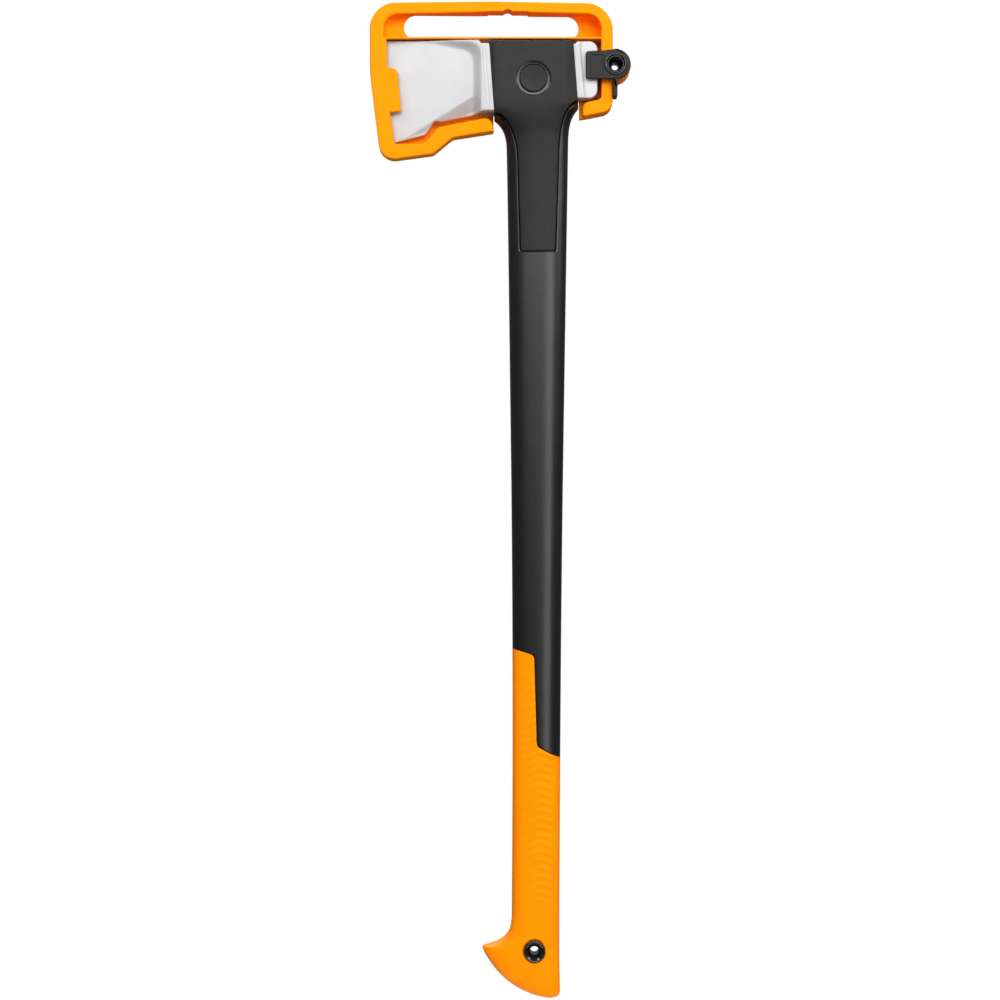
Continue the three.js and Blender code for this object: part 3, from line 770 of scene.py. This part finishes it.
def make_carrier():
    heights = [(COLLAR_TOP, 0.9), (COLLAR_TOP - 0.3, 0.4), (COLLAR_TOP - 0.9, 0.0)]
    heights += [(z, 0.0) for z in steps(COLLAR_TOP - 2, NECK_TOP, 4)]
    heights += [(z, 0.0) for z in steps(NECK_TOP, -130, 0.9)]
    heights += [(z, 0.0) for z in steps(-130, TONGUE_END + 3.2, 4)]
    heights += [(z, 0.0) for z in steps(TONGUE_END + 3.2, TONGUE_END + 0.8, 0.3)]
    heights += [(TONGUE_END + 0.8, 0.05), (TONGUE_END + 0.3, 0.25), (TONGUE_END, 0.7)]
    carrier = loft("head_carrier_moulding", [carrier_ring(z, shrink) for z, shrink in heights])
    for side in (-1, 1):
        boolean(carrier, disc_seat(side))
    finish_piece(carrier, nylon, "root", "glass_filled_nylon", "head_carrier")
    polish_ring(carrier)


# ---------------------------------------------------------------- discs in the collar

DISC_RADIUS = 12.9
DISC_EDGE = 0.9
DISC_CROWN = 0.5
DISC_THICKNESS = 3
DISC_RECESS = 0.15
RING_RADIUS = 16.9
RING_DEPTH = 1.7
RING_LIP = 0.6
ROLL = 0.7
DISC_SEGMENTS = 128


def disc_seat(side):
    """The cutter for the ring groove: a flat floor, a hollow slope and a rolled outer lip."""
    face = COLLAR_HALF
    floor = face - RING_DEPTH
    profile = [(0.01, floor - 2), (DISC_RADIUS + 0.5, floor - 2), (DISC_RADIUS + 0.5, floor)]
    slope = RING_RADIUS - DISC_RADIUS - 1
    for a in (0.0, 0.25, 0.5, 0.75, 1.0):
        depth = ROLL * 0.8 + slope * 0.36 * (math.cos(a) - 0.54)
        profile.append((DISC_RADIUS + 0.8 + slope * math.sin(a), face - depth))
    for a in (0.5, 0.9, 1.3):
        profile.append((RING_RADIUS - 0.5 + ROLL * (1 - math.cos(a)), face - ROLL + ROLL * math.sin(a)))
    outer = RING_RADIUS + RING_LIP
    profile += [(outer, face + 0.02), (outer, face + 4), (0.01, face + 4)]
    return turned("seat", [(r, side * y) for r, y in profile], DISC.x, DISC.z, DISC_SEGMENTS)


def make_disc(side, name, node):
    """A disc with a rounded edge and a slightly crowned face."""
    face = COLLAR_HALF - DISC_RECESS
    inner = face - DISC_THICKNESS
    profile = [(0.01, inner), (DISC_RADIUS, inner), (DISC_RADIUS, face - DISC_EDGE)]
    profile += arc((DISC_RADIUS - DISC_EDGE, face - DISC_EDGE), DISC_EDGE, 0, 90, 6)
    for k in range(1, 13):
        s = k / 12
        profile.append((lerp(DISC_RADIUS - 1.2, 0.01, s), face - DISC_CROWN * (1 - (1 - s) ** 2)))
    disc = turned(name, [(r, side * y) for r, y in profile], DISC.x, DISC.z, DISC_SEGMENTS)
    finish_piece(disc, nylon, "root", "glass_filled_nylon", node)


# ---------------------------------------------------------------- grip

RIDGE_PITCH = 7.8
RIDGE_HEIGHT = 0.8
RIDGE_PEAK = 30
GRIP_EDGE = 0.9
GRIP_EDGE_DROP = 0.7


def ridge(x, z):
    """Height of the fine chevron ridges on the grip's faces."""
    if x > RIDGE_PEAK:
        phase = z + 0.36 * (x - RIDGE_PEAK)
    else:
        phase = z + 0.5 * (RIDGE_PEAK - x)
    ends = smoothstep(z, -868, -846) * (1 - smoothstep(z, -640, -612))
    sides = smoothstep(x, 10, 18) * (1 - smoothstep(x, 40, 45))
    weight = lerp(0.55, 1.0, smoothstep(x, RIDGE_PEAK - 3, RIDGE_PEAK + 2))
    wave = 0.5 + 0.5 * math.cos(2 * math.pi * phase / RIDGE_PITCH)
    return RIDGE_HEIGHT * ends * sides * weight * wave


def grip_ring(z):
    """A section as columns of (angle, drop): a rounded edge at the border, then the whole left side."""
    left, right, half = handle_left(z), handle_right(z), handle_half(z)
    border = right
    if z > GRIP_STEP_END:
        border = clamp(grip_border(z), left + SLIVER, right)
    start = section_angle(border, left, right)
    if start > 0.01:
        edge = min(GRIP_EDGE, (border - left) * 0.25)
        edge_angle = section_angle(border - edge, left, right)
        columns = [(start, GRIP_EDGE_DROP), (lerp(start, edge_angle, 0.3), 0.25)]
    else:
        edge_angle = start
        columns = [(start, 0.0), (start + 0.01, 0.0)]
    columns += [(lerp(edge_angle, math.pi, k / 60), 0.0) for k in range(61)]
    ring = []
    for angle, drop in columns:
        x, y = section_point(angle, left, right, half, drop)
        ring.append((x, -(y - ridge(x, z)), z))
    back = [(x, -y, z) for x, y, z in reversed(ring[:-1])]
    return ring + back


def make_grip():
    heights = steps(GRIP_TOP - 0.05, -626, 0.5) + steps(-626, -694, 1) + steps(-694, -714, 0.5)
    heights += steps(-714, -872, 1) + steps(-872, -900, 1) + steps(-900, -936, 1.5)
    heights += steps(-936, HANDLE_BOTTOM, 0.4) + [HANDLE_BOTTOM]
    grip = loft("grip_moulding", [grip_ring(z) for z in heights])
    for side in (-1, 1):
        boolean(grip, bush_seat(side))
    finish_piece(grip, soft_orange, "root", "soft_grip", "grip")


# ---------------------------------------------------------------- pommel bushes

BUSH_FLANGE = 10.4
BUSH_HOLE = 4.2
BUSH_BARREL = 7
BUSH_FACE = 16.6
BUSH_SEAT = 13.2
FLANGE_EDGE = 0.9


def bush_seat(side):
    """The cutter for half of the bush's hole: a barrel, a flange seat and a flared rim."""
    rim = BUSH_FLANGE + 0.5
    barrel = BUSH_BARREL + 0.3
    floor = BUSH_SEAT - 0.3
    profile = [(0.01, -0.1), (barrel, -0.1), (barrel, floor), (rim, floor), (rim, 14.2)]
    profile += [(rim + 1.4, 15.2), (rim + 1.4, 30), (0.01, 30)]
    return turned("seat", [(r, side * y) for r, y in profile], BUSH.x, BUSH.z)


def funnel(outer, face, throat, depth):
    """A mouth that rolls over from a flange's face into a throat."""
    first = (outer - 1.4, face - 0.12 * depth)
    second = (throat + 0.5, face - 0.5 * depth)
    return bezier(((outer, face), first, second, (throat, face - depth)), 14)


def make_bush(side, name, node):
    profile = [(BUSH_HOLE, 0.2), (BUSH_BARREL, 0.2), (BUSH_BARREL, BUSH_SEAT), (BUSH_FLANGE, BUSH_SEAT)]
    profile += arc((BUSH_FLANGE - FLANGE_EDGE, BUSH_FACE - FLANGE_EDGE), FLANGE_EDGE, 0, 90, 6)
    profile += funnel(BUSH_FLANGE - 1.0, BUSH_FACE, BUSH_HOLE, 7)
    bush = turned(name, [(r, side * y) for r, y in profile], BUSH.x, BUSH.z)
    finish_piece(bush, gloss_black, "root", "gloss_black", node)


# ---------------------------------------------------------------- head

BIT_TOP = Vector((-122.8, -28.4))
BIT_TOE_Z = -127.5
BIT_LEAN = 9
BIT_BOW = 4.4
POLL_RIGHT = 85.2
POLL_CORNER = 8
POLL_BOTTOM = -85
EDGE_HALF = 0.12
BEVEL_WIDTH = 12
BEVEL_SLOPE = 0.14
CHEEK_SLOPE = 0.11
WEDGE_SLOPE = 0.195
BEARD_RELIEF = 0.68
BEARD_HALF = 2
FLARE_WIDTH = 9
POLL_HALF = 12.8
POLL_BLOCK_HALF = 14.2
SHOULDER_HALF = 20.4
UNDER_COLLAR = -9  # right of this the head is drawn in, and the collar covers it
RIM_EDGE = 1.2


def bit_x(z):
    """The cutting edge, a shallow bow."""
    s = (z - BIT_TOP.y) / (BIT_TOE_Z - BIT_TOP.y)
    return BIT_TOP.x + BIT_LEAN * s - 4 * BIT_BOW * s * (1 - s)


head_outline = outline(
    [
        BIT_TOP, (-27.5, -30.6, 1.2), (-24, -35, 1.2), (62.5, -35, 1.5), (66.2, -31.2, 2.5),
        (POLL_RIGHT, -30.8, POLL_CORNER), (POLL_RIGHT, POLL_BOTTOM, POLL_CORNER), (60, POLL_BOTTOM),
        (-13, -97.6, 2), (-22.4, -97.6, 2), (-64, -106.4, 4), (-70, -105.8, 2), (-78.5, -118.6, 6),
        (-113.8, BIT_TOE_Z),
    ],
    4,
)


def height_line(points):
    """Height as a function of x along points that run from one side to the other."""
    ordered = sorted((p.x, p.y) for p in points)
    xs = [x for x, _ in ordered]

    def height(x):
        i = clamp(bisect.bisect_left(xs, x), 1, len(xs) - 1)
        (x0, z0), (x1, z1) = ordered[i - 1], ordered[i]
        return lerp(z0, z1, clamp((x - x0) / max(x1 - x0, 1e-6)))

    return height


head_top = height_line([p for p in head_outline if p.y > -60])
head_bottom = height_line([p for p in head_outline if p.y < -60])


def past_line(x, z, start, end):
    """Distance to the left of the line from start to end."""
    (ax, az), (bx, bz) = start, end
    return ((bx - ax) * (z - az) - (bz - az) * (x - ax)) / math.hypot(bx - ax, bz - az)


def groove(distance, width, depth):
    return depth * max(0.0, 1 - abs(distance) / width)


def poll_half(x, z):
    """Half thickness of the block behind the eye, with a stepped and scored front of the poll."""
    step = x + 0.09 * (z + 31) - 67.8
    block = lerp(POLL_BLOCK_HALF, POLL_HALF, smoothstep(step, 0.2, 1.2))
    return block - groove(step + 0.1, 0.5, 0.4) - groove(step - 1.5, 0.5, 0.35)


def head_half(x, z):
    """Half thickness of the forging: bevel, hollow cheek, relief under the beard, flare, shoulder, poll."""
    if x > UNDER_COLLAR:
        return poll_half(x, z)
    from_edge = max(x - bit_x(z), 0)
    bevel = EDGE_HALF + BEVEL_SLOPE * min(from_edge, BEVEL_WIDTH)
    beyond = max(from_edge - BEVEL_WIDTH, 0)
    cheek = bevel + CHEEK_SLOPE * beyond
    wedge = -soft_max(-(bevel + WEDGE_SLOPE * beyond), -SHOULDER_HALF, 1.5)
    under_beard = past_line(x, z, (-33, -83), (-70, -105.5))
    relieved = max(cheek - BEARD_RELIEF * max(under_beard, 0), min(cheek, BEARD_HALF))
    over_top = -past_line(x, z, (-40, -39.6), (-88, -29.4))
    past = soft_max(over_top, x + 33.4, 11)
    half = lerp(relieved, wedge, smoothstep(past, 0, FLARE_WIDTH))
    beside_collar = x + COLLAR_LEAN * (z - COLLAR_TOP)
    return half - groove(beside_collar + 25.2, 0.45, 0.3) - groove(beside_collar + 22.2, 0.45, 0.3)


def head_ring(column, rows):
    """A section that leans with the cutting edge at the left and stands upright at the poll."""
    share = (column - BIT_TOP.x) / (POLL_RIGHT - BIT_TOP.x)

    def at(z):
        return lerp(bit_x(z), POLL_RIGHT, share)

    top, bottom = HEAD_TOP, BIT_TOE_Z
    for _ in range(8):
        top, bottom = head_top(at(top)), head_bottom(at(bottom))
    corner = min(RIM_EDGE, head_half(at(top - 1), top - 1) * 0.8)
    near_end = max(0.0, RIM_EDGE - (POLL_RIGHT - column))
    end_inset = RIM_EDGE - math.sqrt(RIM_EDGE**2 - near_end**2)
    ring = []

    def add(z, drop=0.0):
        ring.append((at(z), -(head_half(at(z), z) - drop - end_inset), z))

    for angle in (0.0, 0.4, 0.8, 1.2):
        add(top - corner * (1 - math.cos(angle)), corner * (1 - math.sin(angle)))
    for k in range(rows + 1):
        add(lerp(top - corner, bottom + corner, k / rows))
    for angle in (1.2, 0.8, 0.4, 0.0):
        add(bottom + corner * (1 - math.cos(angle)), corner * (1 - math.sin(angle)))
    return ring + [(x, -y, z) for x, y, z in reversed(ring)]


def make_head():
    columns = []
    for start, stop, size in (
        (BIT_TOP.x, -110, 1.5), (-110, -80, 2), (-80, -66, 1), (-66, -42, 1.6), (-42, -26.5, 0.8),
        (-26.5, -18.5, 0.25), (-18.5, -8, 1), (-8, 60, 6), (60, 64, 0.6), (64, 74, 0.25),
        (74, POLL_RIGHT - POLL_CORNER, 1),
    ):
        columns += steps(start, stop, size)
    columns += [POLL_RIGHT - POLL_CORNER * (1 - math.sin(math.pi / 2 * k / 14)) for k in range(15)]
    head = loft("forged_head", [head_ring(column, 84) for column in columns])
    finish_piece(head, coated_steel, "root", "forged_steel", "axe_head", sharp=45)


# ---------------------------------------------------------------- blade guard

GUARD_FRONT = -10
GUARD_NOMINAL = 20
GUARD_RIGHT = 100
DEPTH_LEFT = 16
DEPTH_RIGHT = 26.5
RIM_ROUND = 1.8
INNER_LEFT = -117.8
INNER_RIGHT = 89
INNER_TOP = -3.6
RIB_TOP = -26.4
RIB_BOTTOM = -27.9
SLOT_LEFT = -99.2
SLOT_RIGHT = 68
SLOT_TOP = -2.9
SLOT_RADIUS = 11.7
WEB_FRONT = 7
WEB_BACK = 9.6
FLANGE_FRONT = 8.4
FLANGE_BACK = 9.5
PIVOT_BORE = 7.6
THROUGH = 60


def guard_y(nominal, x):
    """The y of a nominal depth in the guard, which is deeper towards the poll."""
    depth = lerp(DEPTH_LEFT, DEPTH_RIGHT, (x - GUARD_LEFT) / (GUARD_RIGHT - GUARD_LEFT))
    return GUARD_FRONT + (nominal - GUARD_FRONT) / GUARD_NOMINAL * depth


def guard_plate(name, corners, front, back, front_round, back_round, degrees=5):
    """A plate between two nominal depths of the guard."""

    def surface(nominal):
        return lambda x: guard_y(nominal, x)

    points = denser(outline(corners, degrees), 12)
    return rounded_plate(name, points, surface(front), surface(back), front_round, back_round)


def flat(y):
    return lambda x: y


def rod(x, z, radius, front, back, segments=64):
    return turned("rod", [(0.01, front), (radius, front), (radius, back), (0.01, back)], x, z, segments)


def punch(name, points, front=-THROUGH, back=THROUGH):
    """A cutter with plain sides, right through unless told otherwise."""
    return rounded_plate(name, points, flat(front), flat(back), 0.2, 0.2, 1)


def guard_ring():
    """The bar round the head, open where the handle leaves it."""
    corners = [
        (-131.2, 6.4, 25), (-15, 7.6, 400), (GUARD_RIGHT, 5.6, 26), (GUARD_RIGHT, -96.4, 12), (71, -102.2, 2.2),
        (71.6, -88.8, 7), (INNER_RIGHT, -85.4, 4), (INNER_RIGHT, -4.6, 14), (-10, -2.6, 400),
        (INNER_LEFT, -4.8, 13), (INNER_LEFT, -60, 60), (-107.4, -127.9, 1), (-79, -127.9, 8),
        (-66.5, -112.6, 8), (-16.2, -102.2, 8), (-12.8, -115.8, 2), (-52.5, -122.2, 10), (-71, -137.6, 8),
        (-120.8, -144.6, 15), (-131.2, -60, 150),
    ]
    return guard_plate("guard_moulding", corners, GUARD_FRONT, 10, RIM_ROUND, 0.8, 4)


def rim_distance(x, z):
    """Distance inwards from the rim above the rib, with its rounded top corners."""
    radius = 13.5
    dx = min(x - INNER_LEFT, INNER_RIGHT - x)
    dz = INNER_TOP - z
    if dx < radius and dz < radius:
        return radius - math.hypot(radius - dx, radius - dz)
    return min(dx, dz)


def fillet(distance, radius):
    reach = clamp(radius - distance, 0, radius)
    return radius - math.sqrt(radius * radius - reach * reach)


def web_patch(low, high):
    """The hollowed wall at one end of the carry slot, from x = low to high."""
    rings = []
    zs = steps(-27, -2.6, 0.7) + [-2.6]
    for x in steps(low, high, 0.7) + [high]:
        front = []
        for z in zs:
            rise = max(fillet(rim_distance(x, z), 6.5), fillet(z - RIB_TOP, 2.0))
            front.append((x, guard_y(WEB_FRONT, x) - rise, z))
        rings.append(front + [(x, guard_y(WEB_BACK, x), z) for z in reversed(zs)])
    return loft("web", rings)


def boss():
    """The round seat that the latch turns on."""
    radius, front, back, edge = 14.7, -13.5, 16.4, 0.9
    profile = [(0.01, front)] + arc((radius - edge, front + edge), edge, -90, 0, 5)
    profile += arc((radius - edge, back - edge), edge, 0, 90, 5) + [(0.01, back)]
    return turned("boss", profile, PIVOT.x, PIVOT.z)


def bit_groove():
    """The cutter for the groove that takes the cutting edge."""
    points = [Vector((bit_x(z) - 1, z)) for z in steps(BIT_TOE_Z - 1, BIT_TOP.y + 1, 5)]
    points += outline([(BIT_TOP.x - 1, BIT_TOP.y + 1), (-100, BIT_TOP.y + 1), (-100, BIT_TOE_Z + 3.5)])
    return punch("groove", points, -3.2, 3.2)


def make_guard():
    guard = guard_ring()
    rib = [(-120, RIB_BOTTOM), (91, RIB_BOTTOM), (91, RIB_TOP), (-120, RIB_TOP)]
    join(guard, guard_plate("rib", rib, -9.2, WEB_BACK, 0.4, 0.2))
    for low, high in ((-119, -82), (51, 90.2)):
        join(guard, web_patch(low, high))
    tab = [
        (-123, RIB_TOP - 1), (-115.3, RIB_TOP - 1), (-114.8, -55, 1), (-105.2, -56.6, 5), (-101.2, -97.2, 3),
        (-118, -98.8),
    ]
    join(guard, guard_plate("tab", tab, -9.95, -4.2, RIM_ROUND, 0.5))
    flange = [
        (-119, RIB_TOP - 1), (90, RIB_TOP - 1), (90, -86, 4), (72.5, -90, 2), (73, -28.6), (-100, -28.6),
        (-100, -112), (-84, -109.5, 3), (-73, -104.5, 3), (-66, -103.6, 2), (-34, -97), (-30.2, -98.3),
        (-29, -99.1), (-22, -98.1), (-13.6, -98.1), (-13.6, -113.4), (-66.5, -113.8, 6), (-79, -129, 6),
        (-108, -129), (-119, -60),
    ]
    join(guard, guard_plate("flange", flange, FLANGE_FRONT, FLANGE_BACK, 0.2, 0.2))
    heel = [(68.6, -102.4), (80, -100.4), (80, -85.8), (68.4, -85.8)]
    join(guard, guard_plate("heel", heel, 2, FLANGE_BACK, 0.5, 0.2))
    join(guard, boss())
    slot = [
        (SLOT_LEFT, RIB_TOP, SLOT_RADIUS), (SLOT_RIGHT, RIB_TOP, SLOT_RADIUS),
        (SLOT_RIGHT, SLOT_TOP, SLOT_RADIUS), (SLOT_LEFT, SLOT_TOP, SLOT_RADIUS),
    ]
    boolean(guard, punch("slot", outline(slot, 4), -6, 40))
    boolean(guard, rod(0, -6, 6, -THROUGH, THROUGH, 48))
    boolean(guard, punch("relief", outline([(-20.4, -12), (21, -12), (19.3, -1.9), (-18.7, -1.9)])))
    boolean(guard, bit_groove())
    boolean(guard, rod(PIVOT.x, PIVOT.z, PIVOT_BORE, -THROUGH, THROUGH))
    finish_piece(guard, guard_orange, "root", "guard_plastic", "sheath_frame")


# ---------------------------------------------------------------- latch

LATCH_BACK = -13.9
LATCH_RADIUS = 14.3
LATCH_TIP = 74
RECESS_DEPTH = 0.8


def make_latch():
    """The plate with its recessed panel, and the finger lever that reaches back beside the guard."""
    top, bottom = PIVOT.z + LATCH_RADIUS, PIVOT.z - LATCH_RADIUS
    right = PIVOT.x + LATCH_RADIUS
    body = [
        (LATCH_TIP, -41.6, 2.6), (92, -40.6, 20), (PIVOT.x - 2, top, 30), (right, top, LATCH_RADIUS - 0.1),
        (right, bottom, LATCH_RADIUS - 0.1), (PIVOT.x - 2, bottom, 10), (LATCH_TIP, -67.3, 2.6),
    ]
    points = denser(outline(body, 5), 8)
    latch = rounded_plate("latch_body", points, flat(LATCH_FRONT), flat(LATCH_BACK), 1.0, 0.4)
    recess = outline([(78.2, -44.8, 1.6), (78.2, -64, 1.6), (90.6, -64, 0.9), (90.6, -44.8, 0.9)], 10)
    floor = flat(LATCH_FRONT + RECESS_DEPTH)
    boolean(latch, rounded_plate("recess", recess, flat(LATCH_FRONT - 2), floor, 0.1, 0.7))
    left, right = PIVOT.x - 2, PIVOT.x + 1.8
    arm = outline([(left, -66, 0.5), (right, -66, 0.5), (right, -76, 0.5), (left, -76, 0.5)], 15)
    join(latch, rounded_plate("arm", arm, flat(LATCH_FRONT), flat(LATCH_BACK), 0.5, 0.3))
    lever = outline([(left, -69.2, 0.6), (right, -69.2, 0.6), (right, -84.2, 0.9), (left, -84.2, 0.9)], 15)
    join(latch, rounded_plate("lever", lever, flat(LATCH_FRONT + 0.05), flat(1), 0.6, 0.5))
    boolean(latch, rod(PIVOT.x, PIVOT.z, PIVOT_BORE, -THROUGH, THROUGH))
    finish_piece(latch, nylon, "latch", "glass_filled_nylon", "latch")


EYELET_FLANGE = 10.3
EYELET_BARREL = 7.2
EYELET_THROAT = 3.2
FLANGE_THICKNESS = 1.7


def make_eyelet(side, meeting, seat, name, node):
    """Half of the hollow rivet, from where the halves meet to a funnel mouth beyond its seat."""
    length = abs(seat - meeting)
    face = length + FLANGE_THICKNESS
    inward = [(EYELET_THROAT, 0), (EYELET_BARREL, 0), (EYELET_BARREL, length), (EYELET_FLANGE, length)]
    inward += arc((EYELET_FLANGE - FLANGE_EDGE, face - FLANGE_EDGE), FLANGE_EDGE, 0, 90, 6)
    inward += funnel(EYELET_FLANGE - 1.0, face, 5.9, 6)
    inward += [(5.8, 7.4), (5.2, 6.2), (4.4, 5.3), (EYELET_THROAT, 5)]
    eyelet = turned(name, [(r, meeting + side * y) for r, y in inward], PIVOT.x, PIVOT.z)
    finish_piece(eyelet, gloss_black, "latch", "gloss_black", node)


# ---------------------------------------------------------------- assembly

make_shaft()
make_carrier()
make_disc(-1, "disc_front", "collar_disc_front")
make_disc(1, "disc_back", "collar_disc_back")
make_grip()
make_bush(-1, "bush_front", "pommel_bush_front")
make_bush(1, "bush_back", "pommel_bush_back")
make_head()
make_guard()
make_latch()
make_eyelet(-1, 1.8, LATCH_FRONT - 0.35, "eyelet_front", "latch_eyelet_front")
make_eyelet(1, 2.2, 16.9, "eyelet_back", "latch_eyelet_back")

# These two lie inside the others and keep the model's own shape.
hidden_finish = {"lock_pin": pin_steel, "shaft_end_plug": nylon}
for node, material in hidden_finish.items():
    carried = bpy.data.objects.get(node)
    carried.data.materials.clear()
    carried.data.materials.append(material)
